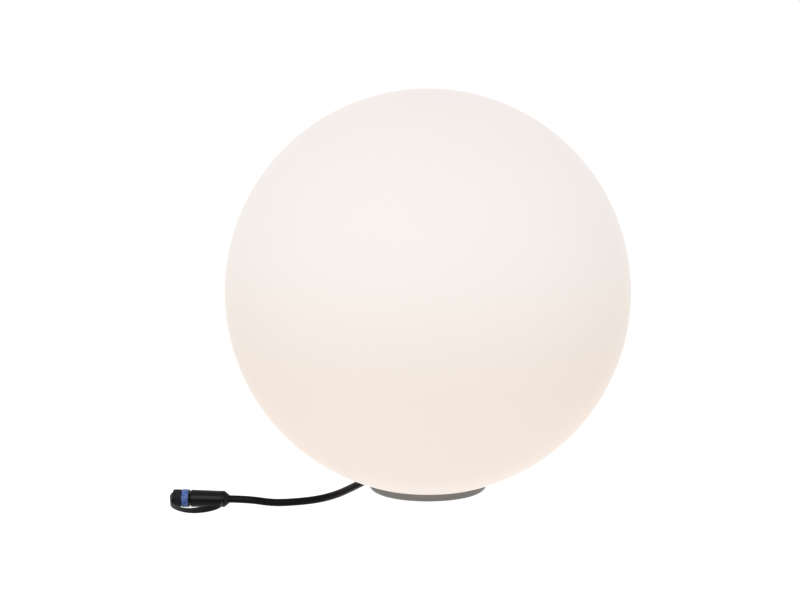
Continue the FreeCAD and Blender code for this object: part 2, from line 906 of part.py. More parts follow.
def lamp_cover():
    body = new_body("lamp_cover")
    rise = "cover_base + cover_flange"
    spring = "cover_base + cover_height / 2"
    outer_arc = "((cover_radius - cover_draft)^2 + (cover_height / 2)^2) / cover_height"
    inner = "(cover_radius - cover_wall)"
    inner_rise = "(cover_height / 2 - cover_wall)"
    inner_arc = f"(({inner} - cover_draft)^2 + {inner_rise}^2) / (2 * {inner_rise})"
    revolved(
        body,
        [
            (inner, "cover_base"),
            ("cover_edge", "cover_base"),
            ("cover_edge", rise),
            ("cover_radius", rise),
            ("cover_radius - cover_draft", spring, outer_arc),
            ("0", "cover_top"),
            ("0", "cover_top - cover_wall", inner_arc, "clockwise"),
            (f"{inner} - cover_draft", spring),
        ],
        "dome",
    )
    screw_holes(body, rise, "cover_flange")


def lamp_screws():
    top = "(cover_base + cover_flange)"
    depth = "cover_base + cover_flange - barrel_top + screw_depth - pilot_spare"
    screws = []
    for i in range(SIZES["screw_count"]):
        x, y = polar("screw_ring", f"{i} * 360 / screw_count")
        screws.append(
            screw(f"lamp_screw_{i}", "screw_radius", "screw_head", "screw_head_height", depth, x, y, top)
        )
    grouped("lamp_screws", screws)


# ---- driver ----


def driver_board():
    board = block(
        "driver_plate",
        "driver_length",
        "driver_width",
        "board_thickness",
        "-driver_length / 2",
        "-driver_front",
        "driver_low",
    )
    holes = [
        rod(f"driver_hole_{i}", "peg_screw + screw_gap", "driver_top - driver_low + tool_margin", x, y, "driver_low")
        for i, (x, y) in enumerate(peg_places())
    ]
    cut("driver_cut", board, holes).Label = "driver_board"


def driver_screws():
    screws = [
        screw(
            f"driver_screw_{i}",
            "peg_screw",
            "peg_screw_head",
            "peg_screw_head_height",
            "peg_screw_depth",
            x,
            y,
            "driver_top",
        )
        for i, (x, y) in enumerate(peg_places())
    ]
    grouped("driver_screws", screws)


def driver_parts():
    """What stands on the driver board."""
    end = "driver_length / 2"
    choke_y = "choke_depth - driver_front"
    rod("choke", "choke_radius", "choke_height", f"choke_inset - {end}", choke_y, "driver_top")
    right = f"{end} - capacitor_inset"
    places = (right, f"{right} - 2 * capacitor_radius - capacitor_gap")
    y = "capacitor_depth - driver_front"
    cans = [
        rod(f"capacitor_{i}", "capacitor_radius", "capacitor_height", x, y, "driver_top")
        for i, x in enumerate(places)
    ]
    grouped("capacitors", cans)
    block(
        "converter_chip",
        "chip_package",
        "chip_package",
        "package_height",
        f"package_inset - {end}",
        "package_depth - driver_front",
        "driver_top",
    )
    block(
        "terminal_block",
        "terminal_length",
        "terminal_width",
        "terminal_height",
        "terminal_side - terminal_length / 2",
        "-driver_front",
        "driver_top",
    )


def lead_pair(label, route):
    """Two wires side by side, as two solids."""
    wires = []
    for side in (-0.5, 0.5):
        offset = side * value("lead_spacing")
        points = [(value(x) + offset, value(y), value(z)) for x, y, z in route]
        wires.append(tube(label, points, value("lead_radius")))
    part_feature(label, Part.makeCompound(wires))


# ---- gland, clamp and cord ----


def gland_body():
    body = new_body("gland_body")
    finger = "gland_thread - 2 * thread_gap"
    revolved(
        body,
        [
            ("-web_front + gland_inset", "cord_radius + cord_gap"),
            ("-web_front + gland_inset", "gland_thread"),
            ("-gland_flange", "gland_thread"),
            ("-gland_flange", "gland_boss"),
            ("gland_flange", "gland_boss"),
            ("gland_flange", finger),
            ("gland_fingers", finger),
            ("gland_fingers", f"{finger} - finger_wall"),
            ("gland_flange", f"{finger} - finger_wall"),
            ("gland_flange", "cord_radius + cord_gap"),
        ],
        "gland_turned",
        "H_Axis",
    )
    at_gland(body)


def gland_seal():
    body = new_body("gland_seal")
    inner = "cord_radius + fit_gap"
    outer = "gland_thread - 2 * thread_gap - finger_wall - fit_gap"
    front = "gland_fingers + gland_seal_proud"
    revolved(
        body,
        [("gland_flange", inner), ("gland_flange", outer), (front, outer), (front, inner)],
        "seal_turned",
        "H_Axis",
    )
    at_gland(body)


def gland_nut():
    body = new_body("gland_nut")
    seat = "gland_fingers + gland_seal_proud + 2 * thread_gap"
    revolved(
        body,
        [
            ("gland_flange + gland_seat_gap", "gland_thread - thread_gap"),
            ("gland_flange + gland_seat_gap", "gland_radius"),
            ("gland_nose - nose_chamfer", "gland_radius"),
            ("gland_nose", "gland_radius - nose_inset"),
            ("gland_nose", "cord_radius + cord_gap"),
            ("gland_nose - nose_wall", "cord_radius + cord_gap"),
            (seat, "gland_thread - 2 * thread_gap - finger_wall"),
            (seat, "gland_thread - thread_gap"),
        ],
        "nut_turned",
        "H_Axis",
    )
    spot = [("0", "gland_radius + flute_offset")]
    flute = circles(new_sketch(body, "YZ", "flute_outline", "gland_nose"), spot, "flute_radius")
    around(body, [cut_in(body, flute, "gland_nose", "flute")], "flute_count", "flutes", "X_Axis")
    at_gland(body)


def cord_inlet():
    inlet = rod(
        "cord_inlet",
        "cord_radius",
        "gland_nose + jacket_end",
        "gland_side",
        "gland_nose",
        "gland_axis",
        90,
        (1, 0, 0),
    )
    inlet.Label = "cord_inlet"


def cord_clamp():
    high = "cord_radius + clamp_roof"
    saddle = block(
        "saddle_block",
        "clamp_span + 2 * clamp_margin",
        "clamp_thickness",
        high,
        "gland_side - post_side - clamp_margin",
        "-clamp_place - clamp_thickness / 2",
        "gland_axis",
    )
    groove = rod(
        "saddle_groove",
        "cord_radius + fit_gap",
        "clamp_thickness + 2 * tool_margin",
        "gland_side",
        "-clamp_place + clamp_thickness / 2 + tool_margin",
        "gland_axis",
        90,
        (1, 0, 0),
    )
    holes = [
        rod(f"saddle_hole_{i}", "screw_radius + screw_gap", f"{high} + tool_margin", x, y, "gland_axis")
        for i, (x, y) in enumerate(post_places())
    ]
    cut("saddle", saddle, [groove] + holes).Label = "cord_clamp"
    depth = f"{high} + post_pilot - screw_root"
    top = f"(gland_axis + {high})"
    screws = [
        screw(f"clamp_screw_{i}", "screw_radius", "screw_head", "screw_head_height", depth, x, y, top)
        for i, (x, y) in enumerate(post_places())
    ]
    grouped("clamp_screws", screws)


def supply_cord():
    points = [tuple(value(number) for number in spot) for spot in CORD_ROUTE]
    part_feature("supply_cord", tube("supply_cord", points, value("cord_radius")))


# ---- plug ----


def plug_body():
    body = new_body("plug_body")
    groove = "plug_rear_radius - collar_depth"
    keeper = "nut_rear + keeper_place"
    revolved(
        body,
        [
            ("0", "0"),
            ("0", "cord_radius + cone_lip"),
            ("plug_cone", "plug_rear_radius - cone_lip"),
            ("plug_rear", "plug_rear_radius - cone_lip / 2"),
            ("plug_rear", groove),
            ("plug_rear + collar_width + 2 * collar_gap", groove),
            ("plug_rear + collar_width + 2 * collar_gap", "plug_rear_radius"),
            ("plug_front - plug_round", "plug_front_radius"),
            ("plug_front", "plug_front_radius - plug_round"),
            ("plug_front", "plug_neck"),
            (keeper, "plug_neck"),
            (keeper, "nut_bore - keeper_gap"),
            ("keeper_front", "nut_bore - keeper_gap"),
            ("keeper_front", "carrier_radius + fit_gap"),
            ("plug_front - carrier_depth", "carrier_radius + fit_gap"),
            ("plug_front - carrier_depth", "0"),
        ],
        "plug_turned",
        "H_Axis",
    )
    at_plug(body)


def pin_places():
    return [("-pin_spacing / 2", "0"), ("pin_spacing / 2", "0")]


def contacts():
    """The carrier, whose wider nose stands on the plug's front and takes the seal, and its pins."""
    carrier = new_body("contact_carrier")
    nose_end = "carrier_front - nose_lead"
    revolved(
        carrier,
        [
            ("plug_front - carrier_depth", "0"),
            ("plug_front - carrier_depth", "carrier_radius"),
            ("keeper_front", "carrier_radius"),
            ("keeper_front", "nose_radius"),
            (nose_end, "nose_radius"),
            (nose_end, "carrier_radius"),
            ("carrier_front", "carrier_radius"),
            ("carrier_front", "0"),
        ],
        "carrier_turned",
        "H_Axis",
    )
    holes = new_sketch(carrier, "YZ", "pin_hole", "carrier_front")
    cut_in(carrier, circles(holes, pin_places(), "pin_radius + fit_gap"), "pin_depth", "pin_holes")
    at_plug(carrier)
    pins = [
        rod(f"pin_{i}", "pin_radius", "pin_length", "carrier_front - pin_depth", x, y, 90)
        for i, (x, y) in enumerate(pin_places())
    ]
    at_plug(grouped("contact_pins", pins))


def plug_ring(label, inner, outer, low, high):
    body = new_body(label)
    revolved(
        body, [(low, inner), (low, outer), (high, outer), (high, inner)], label + "_ring", "H_Axis"
    )
    return at_plug(body)


def coupling_nut():
    body = new_body("coupling_nut")
    web = "nut_rear + nut_web"
    rim = "nut_rear + rim_width"
    revolved(
        body,
        [
            ("nut_rear", "plug_neck + cap_gap"),
            ("nut_rear", "rim_radius - rim_round"),
            ("nut_rear + rim_round", "rim_radius"),
            (rim, "rim_radius"),
            (rim, "nut_radius"),
            ("nut_front", "nut_radius"),
            ("nut_front", "nut_bore"),
            (web, "nut_bore"),
            (web, "plug_neck + cap_gap"),
        ],
        "nut_turned",
        "H_Axis",
    )
    at_plug(body)


def grip_ring():
    body = new_body("grip_ring")
    rear = "nut_rear + rim_width"
    front = "nut_front + cap_gap"
    revolved(
        body,
        [
            (rear, "nut_radius + fit_gap"),
            (rear, "ring_radius - ring_round"),
            (f"{rear} + ring_round", "ring_radius"),
            (f"{front} - ring_round", "ring_radius"),
            (front, "ring_radius - ring_round"),
            (front, "nut_radius + fit_gap"),
        ],
        "ring_turned",
        "H_Axis",
    )
    spot = [("0", "ring_radius + rib_offset")]
    sketch = circles(new_sketch(body, "YZ", "rib_gap", f"{front} - rib_margin"), spot, "rib_cutter")
    gap = cut_in(body, sketch, "nut_length - rim_width + cap_gap - 2 * rib_margin", "rib_gap_cut")
    around(body, [gap], "ring_ribs", "rib_gaps", "X_Axis")
    at_plug(body)


def dust_cap():
    """The ribbed cap with its button, and the threaded sleeve that is held in it."""
    body = new_body("dust_cap")
    neck = "cap_front + button_length - button_thickness"
    inside = "cap_front - cap_wall"
    revolved(
        body,
        [
            ("cap_rear", "sleeve_radius + fit_gap"),
            ("cap_rear", "cap_radius - rim_round"),
            ("cap_rear + rim_round", "cap_radius"),
            ("cap_front - cap_round", "cap_radius"),
            ("cap_front", "cap_radius - cap_round"),
            ("cap_front", "button_neck"),
            (neck, "button_neck"),
            (neck, "button_radius"),
            ("cap_front + button_length - rim_round", "button_radius"),
            ("cap_front + button_length", "button_radius - rim_round"),
            ("cap_front + button_length", "0"),
            (inside, "0"),
            (inside, "sleeve_radius + fit_gap"),
        ],
        "cap_turned",
        "H_Axis",
    )
    spot = [("0", "cap_radius + groove_offset")]
    sketch = circles(
        new_sketch(body, "YZ", "cap_groove", "cap_front - cap_groove_margin"), spot, "groove_cutter"
    )
    groove = cut_in(body, sketch, "cap_length - 2 * cap_groove_margin", "cap_groove_cut")
    around(body, [groove], "cap_ribs", "cap_grooves", "X_Axis")
    at_plug(body)
    plug_ring("cap_sleeve", "sleeve_bore", "sleeve_radius", "cap_rear - sleeve_length", inside)


def plug_rings():
    groove = "plug_rear_radius - collar_depth"
    rear = "plug_rear + collar_gap"
    plug_ring(
        "strap_collar", f"{groove} + fit_gap", "collar_radius", rear, f"{rear} + collar_width"
    )
    inner = "nose_radius + fit_gap"
    rear = "nut_rear + plug_seal_place"
    plug_ring("plug_seal", inner, "nose_radius + plug_seal_wall", rear, f"{rear} + plug_seal_width")
    inner = "sleeve_radius + seal_gap"
    plug_ring("cap_washer", inner, "nut_radius - seal_gap", "cap_rear - washer_thickness", "cap_rear")
    rear = "cap_front + eye_gap"
    plug_ring("strap_eye", "button_neck + cap_gap", "eye_radius", rear, f"{rear} + eye_width")


def cap_strap():
    wire, radii = rounded_wire([(value(x), value(y), 0) for x, y in STRAP_ROUTE])
    print("cap_strap: radii", [round(r, 1) for r in radii])
    start = wire.Edges[0]
    point = start.valueAt(start.FirstParameter)
    ahead = start.tangentAt(start.FirstParameter)
    side = FreeCAD.Vector(0, 0, 1).cross(ahead) * (value("strap_thickness") / 2)
    rise = FreeCAD.Vector(0, 0, value("strap_width") / 2)
    corners = [point + side + rise, point - side + rise, point - side - rise, point + side - rise]
    section = Part.makePolygon(corners + corners[:1])
    strap = part_feature("cap_strap", wire.makePipeShell([section], True, False))
    at_plug(strap, -value("strap_tilt"))


# ---- the whole light ----

globe_shell()
foot_housing()
foot_pads()
gaskets()
heat_spreader()
led_board()
led_chips()
lamp_cover()
lamp_screws()
driver_board()
driver_screws()
driver_parts()
lead_pair("supply_leads", SUPPLY_LEAD)
lead_pair("lamp_leads", LAMP_LEAD)
gland_body()
gland_seal()
gland_nut()
cord_inlet()
cord_clamp()
supply_cord()
plug_body()
contacts()
coupling_nut()
grip_ring()
dust_cap()
plug_rings()
cap_strap()
doc.recompute()

failed = [o.Label for o in doc.Objects if "Invalid" in o.State or "Error" in o.State]
if failed:
    raise RuntimeError(f"not made: {failed}")

NODES = [
    "globe_shell",
    "foot_housing",
    "foot_pads",
    "globe_gasket",
    "barrel_seal",
    "cover_seal",
    "heat_spreader",
    "led_board",
    "led_chips",
    "lamp_cover",
    "lamp_screws",
    "driver_board",
    "driver_screws",
    "choke",
    "capacitors",
    "converter_chip",
    "terminal_block",
    "supply_leads",
    "lamp_leads",
    "gland_body",
    "gland_seal",
    "gland_nut",
    "cord_inlet",
    "cord_clamp",
    "clamp_screws",
    "supply_cord",
    "plug_body",
    "contact_carrier",
    "contact_pins",
    "plug_seal",
    "coupling_nut",
    "grip_ring",
    "dust_cap",
    "cap_sleeve",
    "cap_washer",
    "strap_collar",
    "strap_eye",
    "cap_strap",
]

os.makedirs("parts", exist_ok=True)
pieces = {name: doc.getObjectsByLabel(name)[0] for name in NODES}
for name, piece in pieces.items():
    if piece.Shape.isNull() or not piece.Shape.isValid():
        raise RuntimeError(f"{name} has no valid shape")
for name, piece in pieces.items():
    piece.Shape.exportStep(f"parts/{name}.step")
    box = piece.Shape.BoundBox
    print(f"{name}: {len(piece.Shape.Solids)} solids, {piece.Shape.Volume:.0f} mm3, z {box.ZMin:.2f} to {box.ZMax:.2f}")
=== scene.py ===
"""The looks of a garden globe light: a glowing opal globe, its grey foot and its plugged cord."""

import json
import math

import bmesh
import bpy
from mathutils import Matrix, Vector


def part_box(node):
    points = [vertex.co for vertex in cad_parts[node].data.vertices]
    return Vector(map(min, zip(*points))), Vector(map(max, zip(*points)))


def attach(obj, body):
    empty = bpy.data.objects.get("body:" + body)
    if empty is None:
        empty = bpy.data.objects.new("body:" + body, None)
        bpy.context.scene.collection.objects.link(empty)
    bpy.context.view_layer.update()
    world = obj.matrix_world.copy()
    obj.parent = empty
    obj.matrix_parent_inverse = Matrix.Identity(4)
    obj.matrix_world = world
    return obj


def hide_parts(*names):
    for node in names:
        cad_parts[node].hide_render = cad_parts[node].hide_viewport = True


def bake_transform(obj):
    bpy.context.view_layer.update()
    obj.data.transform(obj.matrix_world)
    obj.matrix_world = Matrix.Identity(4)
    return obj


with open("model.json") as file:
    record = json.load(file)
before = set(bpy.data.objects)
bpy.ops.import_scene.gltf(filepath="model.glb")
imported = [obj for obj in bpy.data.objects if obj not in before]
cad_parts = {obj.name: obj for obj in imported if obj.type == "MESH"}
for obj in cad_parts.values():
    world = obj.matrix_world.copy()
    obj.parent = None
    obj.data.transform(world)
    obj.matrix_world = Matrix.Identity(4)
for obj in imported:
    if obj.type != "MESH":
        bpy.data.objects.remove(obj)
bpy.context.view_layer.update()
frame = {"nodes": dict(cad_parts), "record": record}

MM = 0.001
NODES = frame["nodes"]

# Where the photograph was taken from, in pixels, metres and degrees, with the sensor in
# millimetres. The camera aims at the globe's centre, a little right of the picture's middle.
PHOTO_WIDTH = 800
PHOTO_HEIGHT = 600
GLOBE_PIXEL = (427.9, 291.66)
FOCAL_PIXELS = 3045
CAMERA_DISTANCE = 3.0
CAMERA_ELEVATION = 9.8
SENSOR_WIDTH = 36

# The floor's own grey, the light that it is lifted by where it is seen, how far it reaches from
# the middle in metres, its corners as shares of that, and the world's even light.
FLOOR_COLOUR = "9A9A9A"
FLOOR_LIFT = 0.95
FLOOR_REACH = 6.0
FLOOR_CORNERS = [(-1, -1), (1, -1), (1, 1), (-1, 1)]
AMBIENT = 0.2

# A broad softbox over the camera and a weaker one at each side: name, place, diameter in metres
# and power in watts. They all face one spot, low in the globe.
SOFTBOXES = [
    ("key", (-0.4, -2.6, 1.5), 1.7, 38),
    ("left", (-2.4, -0.5, 0.6), 1.2, 6),
    ("right", (2.4, -0.5, 0.6), 1.2, 6.5),
]
LIT_SPOT = (0, 0, 0.1)

globe_low, globe_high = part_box("globe_shell")
GLOBE_RADIUS = (globe_high.x - globe_low.x) / 2
GLOBE_CENTRE = Vector((0, 0, globe_high.z - GLOBE_RADIUS))


# ---- materials ----

# How fine the cloudy colours are, and where in their noise they are fully dark and fully light.
CLOUD_DETAIL = 3.0
CLOUD_ENDS = (0.3, 0.7)

# The globe's glow, from its lowest point, 0, to its top, 1.
GLOW = [
    (0.026, "E4D9D1"),
    (0.09, "E5D8CE"),
    (0.24, "E0D2C7"),
    (0.4, "D9CDC3"),
    (0.58, "D9D3CD"),
    (0.84, "D9D5D2"),
    (0.99, "DCD3D1"),
]

# The foot's colour, with painted light and shade: paler at the ground, 0, and darker up to where
# the painted shade ends, 1; that height and the size of its blotches, in millimetres; and how dark
# and light the blotches are.
FOOT_PAINTED_SHADE_COLOURS = [(0, "BCBBB9"), (0.45, "9E9C99"), (1, "7E7C7A")]
PAINTED_SHADE_HEIGHT = 8
BLOTCH_SIZE = 14
BLOTCH_SHADES = (0.9, 1.1)

# The strap's colour, with painted light: near black, a painted shadow, where it starts, 0, paling
# to a painted reflection at the cap, 1; and those places along X in metres.
STRAP_PAINTED_LIGHT_COLOURS = [(0, "060607"), (0.5, "242425"), (1, "4A4A4B")]
PAINTED_LIGHT_START = -0.21
PAINTED_LIGHT_END = -0.25

# Rolling lines about 0.4 mm apart and 17 mm long: the pattern's scale along each axis, in a metre.
ROLLING_LINES = (2500, 60, 2500)


def to_linear(code):
    """An sRGB hex colour as linear numbers."""
    channels = [int(code[i : i + 2], 16) / 255 for i in (0, 2, 4)]
    return [c / 12.92 if c <= 0.04045 else ((c + 0.055) / 1.055) ** 2.4 for c in channels] + [1.0]


def add(tree, kind, settings=None, inputs=None, stops=(), **named):
    """Adds a node with its settings. Its inputs, by number or name, take a socket, which is linked
    to them, or a value. A colour ramp takes stops of (place, hex colour)."""
    node = tree.nodes.new(kind)
    for name, setting in (settings or {}).items():
        setattr(node, name, setting)
    given = dict(inputs or {})
    given.update((name.replace("_", " "), value) for name, value in named.items())
    for key, value in given.items():
        if isinstance(key, int):
            socket = node.inputs[key]
        else:
            socket = next(s for s in node.inputs if s.name == key and s.enabled)
        if isinstance(value, bpy.types.NodeSocket):
            tree.links.new(value, socket)
        else:
            socket.default_value = value
    if stops:
        elements = node.color_ramp.elements
        while len(elements) < len(stops):
            elements.new(0.5)
        for element, (spot, code) in zip(elements, stops):
            element.position = spot
            element.color = to_linear(code)
    return node


def surface(name, **values):
    """A material with one Principled shader: the material, its nodes and that shader."""
    material = bpy.data.materials.new(name)
    material.use_nodes = True
    tree = material.node_tree
    tree.nodes.clear()
    shader = add(tree, "ShaderNodeBsdfPrincipled", **values)
    add(tree, "ShaderNodeOutputMaterial", Surface=shader.outputs[0])
    return material, tree, shader


def grain(tree, shader, grain_mm, depth_mm, detail=2.0, roughness=None):
    """A moulded or worked surface's fine relief, and the spread of its roughness, low to high."""
    place = add(tree, "ShaderNodeTexCoord").outputs["Object"]
    noise = add(
        tree, "ShaderNodeTexNoise", Vector=place, Scale=1 / (grain_mm * MM), Detail=detail
    ).outputs["Fac"]
    bump = add(tree, "ShaderNodeBump", Height=noise, Strength=1.0, Distance=depth_mm * MM)
    tree.links.new(bump.outputs[0], shader.inputs["Normal"])
    if roughness:
        low, high = roughness
        spread = add(tree, "ShaderNodeMapRange", Value=noise, To_Min=low, To_Max=high)
        tree.links.new(spread.outputs[0], shader.inputs["Roughness"])


def mottled(tree, shader, patch_mm, dark, light):
    """Cloudy colour between two hex colours, in patches of that size."""
    place = add(tree, "ShaderNodeTexCoord").outputs["Object"]
    noise = add(
        tree, "ShaderNodeTexNoise", Vector=place, Scale=1 / (patch_mm * MM), Detail=CLOUD_DETAIL
    ).outputs["Fac"]
    stops = list(zip(CLOUD_ENDS, (dark, light)))
    tint = add(tree, "ShaderNodeValToRGB", inputs={0: noise}, stops=stops)
    tree.links.new(tint.outputs["Color"], shader.inputs["Base Color"])


def opal_polyethylene():
    """Rotomoulded polyethylene, satin and milky: it glows all over, a little warmer low down, near
    the lamp, and its skin has the soft waviness that a hollow moulding has."""
    material, tree, shader = surface(
        "opal_polyethylene",
        Base_Color=to_linear("9E9B99"),
        Roughness=0.55,
        IOR=1.51,
        Specular_IOR_Level=0.05,
        Emission_Strength=1.0,
    )
    place = add(tree, "ShaderNodeTexCoord").outputs["Object"]
    height = add(tree, "ShaderNodeSeparateXYZ", Vector=place).outputs["Z"]
    rise = add(
        tree, "ShaderNodeMapRange", Value=height, From_Min=globe_low.z, From_Max=globe_high.z
    ).outputs[0]
    glow = add(tree, "ShaderNodeValToRGB", inputs={0: rise}, stops=GLOW)
    glow.color_ramp.interpolation = "B_SPLINE"
    tree.links.new(glow.outputs["Color"], shader.inputs["Emission Color"])
    grain(tree, shader, grain_mm=9, depth_mm=0.05, detail=1.0)
    return material


def grey_polypropylene():
    """Moulded polypropylene in warm grey, with the fine matt texture of an etched mould, and with
    painted light and shade: paler towards the ground and darker higher up."""
    material, tree, shader = surface("grey_polypropylene", Roughness=0.5, IOR=1.49)
    place = add(tree, "ShaderNodeTexCoord").outputs["Object"]
    height = add(tree, "ShaderNodeSeparateXYZ", Vector=place).outputs["Z"]
    rise = add(
        tree, "ShaderNodeMapRange", Value=height, From_Min=0, From_Max=PAINTED_SHADE_HEIGHT * MM
    ).outputs[0]
    # Painted light and shade: paler at the ground and darker higher up, against the light from
    # above.
    painted_shade = add(tree, "ShaderNodeValToRGB", inputs={0: rise}, stops=FOOT_PAINTED_SHADE_COLOURS).outputs["Color"]
    blotch = add(
        tree, "ShaderNodeTexNoise", Vector=place, Scale=1 / (BLOTCH_SIZE * MM), Detail=CLOUD_DETAIL
    ).outputs["Fac"]
    darkest, lightest = BLOTCH_SHADES
    shade = add(
        tree, "ShaderNodeMapRange", Value=blotch, To_Min=darkest, To_Max=lightest
    ).outputs[0]
    tint = add(tree, "ShaderNodeVectorMath", {"operation": "SCALE"}, {0: painted_shade}, Scale=shade)
    tree.links.new(tint.outputs[0], shader.inputs["Base Color"])
    grain(tree, shader, grain_mm=0.8, depth_mm=0.02, roughness=(0.42, 0.58))
    return material


def cord_rubber():
    """Extruded rubber sheath: black, satin, its shine dulled by a faint bloom."""
    material, tree, shader = surface(
        "cord_rubber", Roughness=0.4, IOR=1.52, Specular_IOR_Level=0.08
    )
    mottled(tree, shader, patch_mm=6, dark="020203", light="08090A")
    grain(tree, shader, grain_mm=1.2, depth_mm=0.03, roughness=(0.32, 0.48))
    return material


def plug_rubber():
    """Thermoplastic rubber moulded over the plug: near black, satin, greyer where it is handled."""
    material, tree, shader = surface(
        "plug_rubber", Roughness=0.32, IOR=1.5, Specular_IOR_Level=0.14
    )
    mottled(tree, shader, patch_mm=9, dark="050608", light="0D0F11")
    grain(tree, shader, grain_mm=0.6, depth_mm=0.02, roughness=(0.28, 0.38))
    return material


def blue_nylon():
    """Moulded blue nylon, glossy on its ribs, with paler rubbed patches."""
    material, tree, shader = surface(
        "blue_nylon", Roughness=0.32, IOR=1.53, Specular_IOR_Level=0.35
    )
    mottled(tree, shader, patch_mm=1.6, dark="203F88", light="688DD8")
    grain(tree, shader, grain_mm=0.5, depth_mm=0.02)
    return material


def black_nylon():
    """Moulded black nylon, matt and slightly dusty."""
    material, tree, shader = surface("black_nylon", Roughness=0.4, IOR=1.53, Specular_IOR_Level=0.1)
    mottled(tree, shader, patch_mm=2.2, dark="060607", light="2C2E31")
    grain(tree, shader, grain_mm=0.4, depth_mm=0.02, roughness=(0.34, 0.5))
    return material


def strap_polymer():
    """Flexible moulded strap, satin and nearly black, with painted light: a painted shadow near the
    collar, paling to a painted reflection towards the cap."""
    material, tree, shader = surface(
        "strap_polymer", Roughness=0.36, IOR=1.5, Specular_IOR_Level=0.12
    )
    place = add(tree, "ShaderNodeTexCoord").outputs["Object"]
    along = add(tree, "ShaderNodeSeparateXYZ", Vector=place).outputs["X"]
    # Painted light: a painted shadow near the collar, paling to a painted reflection towards the
    # cap.
    painted_light_share = add(
        tree, "ShaderNodeMapRange", Value=along, From_Min=PAINTED_LIGHT_START, From_Max=PAINTED_LIGHT_END
    ).outputs[0]
    tint = add(tree, "ShaderNodeValToRGB", inputs={0: painted_light_share}, stops=STRAP_PAINTED_LIGHT_COLOURS)
    tree.links.new(tint.outputs["Color"], shader.inputs["Base Color"])
    grain(tree, shader, grain_mm=0.7, depth_mm=0.02)
    return material


def seal_silicone():
    """Moulded silicone seals, dark and matt."""
    material, tree, shader = surface("seal_silicone", Roughness=0.6, IOR=1.41)
    mottled(tree, shader, patch_mm=4, dark="202020", light="2C2C2C")
    grain(tree, shader, grain_mm=0.5, depth_mm=0.02)
    return material


def rolled_aluminium():
    """Stamped aluminium sheet: bright, with fine rolling lines."""
    material, tree, shader = surface("rolled_aluminium", Metallic=1.0, Roughness=0.35)
    mottled(tree, shader, patch_mm=8, dark="C6C7C9", light="D9DADC")
    place = add(tree, "ShaderNodeTexCoord").outputs["Object"]
    stretched = add(tree, "ShaderNodeMapping", Vector=place, Scale=ROLLING_LINES).outputs[0]
    lines = add(tree, "ShaderNodeTexNoise", Vector=stretched, Scale=1.0).outputs["Fac"]
    spread = add(tree, "ShaderNodeMapRange", Value=lines, To_Min=0.28, To_Max=0.45)
    tree.links.new(spread.outputs[0], shader.inputs["Roughness"])
    return material


def zinc_steel():
    """Bright zinc-plated steel, as on small screws."""
    material, tree, shader = surface("zinc_steel", Metallic=1.0, Roughness=0.3)
    mottled(tree, shader, patch_mm=2, dark="AEB0B2", light="C9CBCC")
    grain(tree, shader, grain_mm=0.4, depth_mm=0.01)
    return material


def turned_brass():
    """Turned brass contacts: bright, with a fine uneven grain."""
    material, tree, shader = surface("turned_brass", Metallic=1.0, Roughness=0.25)
    mottled(tree, shader, patch_mm=2, dark="C9A24E", light="DDB966")
    grain(tree, shader, grain_mm=0.3, depth_mm=0.01)
    return material


def board_laminate():
    """Glass-fibre laminate under white solder mask: glossy and faintly uneven."""
    material, tree, shader = surface("board_laminate", Roughness=0.35, IOR=1.55)
    mottled(tree, shader, patch_mm=5, dark="DFE2DC", light="EDEFEA")
    grain(tree, shader, grain_mm=0.6, depth_mm=0.02)
    return material


def led_phosphor():
    """Yellow phosphor gel, poured over the chips: smooth and glossy."""
    material, tree, shader = surface("led_phosphor_gel", Roughness=0.3, IOR=1.45)
    mottled(tree, shader, patch_mm=1, dark="E8C948", light="F3DC72")
    grain(tree, shader, grain_mm=0.3, depth_mm=0.01)
    return material


def frosted_polycarbonate():
    """Frosted polycarbonate: milky, satin, letting a soft light through."""
    material, tree, shader = surface(
        "frosted_polycarbonate", Roughness=0.35, IOR=1.58, Transmission_Weight=0.6
    )
    mottled(tree, shader, patch_mm=12, dark="E9EDEE", light="F4F6F6")
    grain(tree, shader, grain_mm=0.5, depth_mm=0.02)
    return material


def sintered_ferrite():
    """Sintered ferrite: dark grey and slightly rough."""
    material, tree, shader = surface("sintered_ferrite", Roughness=0.55, IOR=1.6)
    mottled(tree, shader, patch_mm=2, dark="303134", light="3E4043")
    grain(tree, shader, grain_mm=0.4, depth_mm=0.03)
    return material


def capacitor_sleeve():
    """Plastic sleeve shrunk on a can: dark blue and glossy."""
    material, tree, shader = surface("capacitor_sleeve", Roughness=0.3, IOR=1.5)
    mottled(tree, shader, patch_mm=3, dark="2C3550", light="364061")
    grain(tree, shader, grain_mm=0.6, depth_mm=0.01)
    return material


def terminal_polyamide():
    """Moulded green polyamide, satin, as terminal blocks have."""
    material, tree, shader = surface("terminal_polyamide", Roughness=0.4, IOR=1.53)
    mottled(tree, shader, patch_mm=3, dark="2F7A45", light="3A8D53")
    grain(tree, shader, grain_mm=0.5, depth_mm=0.02)
    return material


def wire_sleeve():
    """Extruded insulation of the inner wires: red and glossy."""
    material, tree, shader = surface("wire_sleeve", Roughness=0.3, IOR=1.52)
    mottled(tree, shader, patch_mm=4, dark="8C2320", light="A32B27")
    grain(tree, shader, grain_mm=0.5, depth_mm=0.01)
    return material


